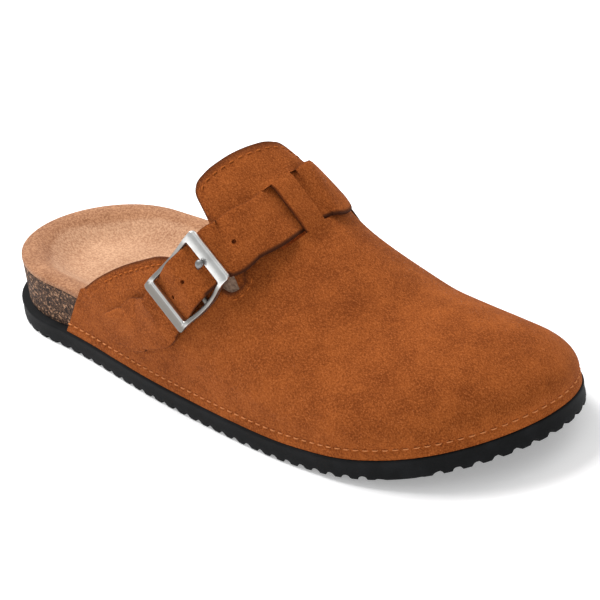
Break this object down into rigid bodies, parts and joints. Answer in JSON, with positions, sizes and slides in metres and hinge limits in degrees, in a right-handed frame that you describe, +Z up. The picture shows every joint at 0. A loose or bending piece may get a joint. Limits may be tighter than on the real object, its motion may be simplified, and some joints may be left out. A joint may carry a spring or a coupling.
{
  "type": "clog",
  "caption": "Backless suede clog with a cork footbed, a closed round toe, an instep strap with a square metal buckle and a thin ribbed outsole.",
  "frame": {"origin": "floor plane under the middle of the sole's length, on the sole's long axis", "axes": "+X to the toe, +Y to the inner (big toe) side of the foot, +Z up from the floor"},
  "size_m": [0.262, 0.0953, 0.0906],
  "materials": {
    "outsole_rubber": "matte dark grey foamed rubber",
    "cork": "dark granulated cork with pale grains",
    "insole_suede": "tan suede with a short nap",
    "upper_suede": "rust brown suede with a mottled nap",
    "strap_suede": "rust brown suede",
    "buckle_metal": "satin nickel",
    "prong_metal": "satin nickel",
    "tab_suede": "rust brown suede"
  },
  "bodies": {
    "root": {"outsole": "outsole_rubber", "cork_midsole": "cork", "insole": "insole_suede", "upper": "upper_suede", "strap": "strap_suede", "buckle_frame": "buckle_metal", "buckle_prong": "prong_metal", "buckle_tab": "tab_suede"}
  },
  "joints": []
}
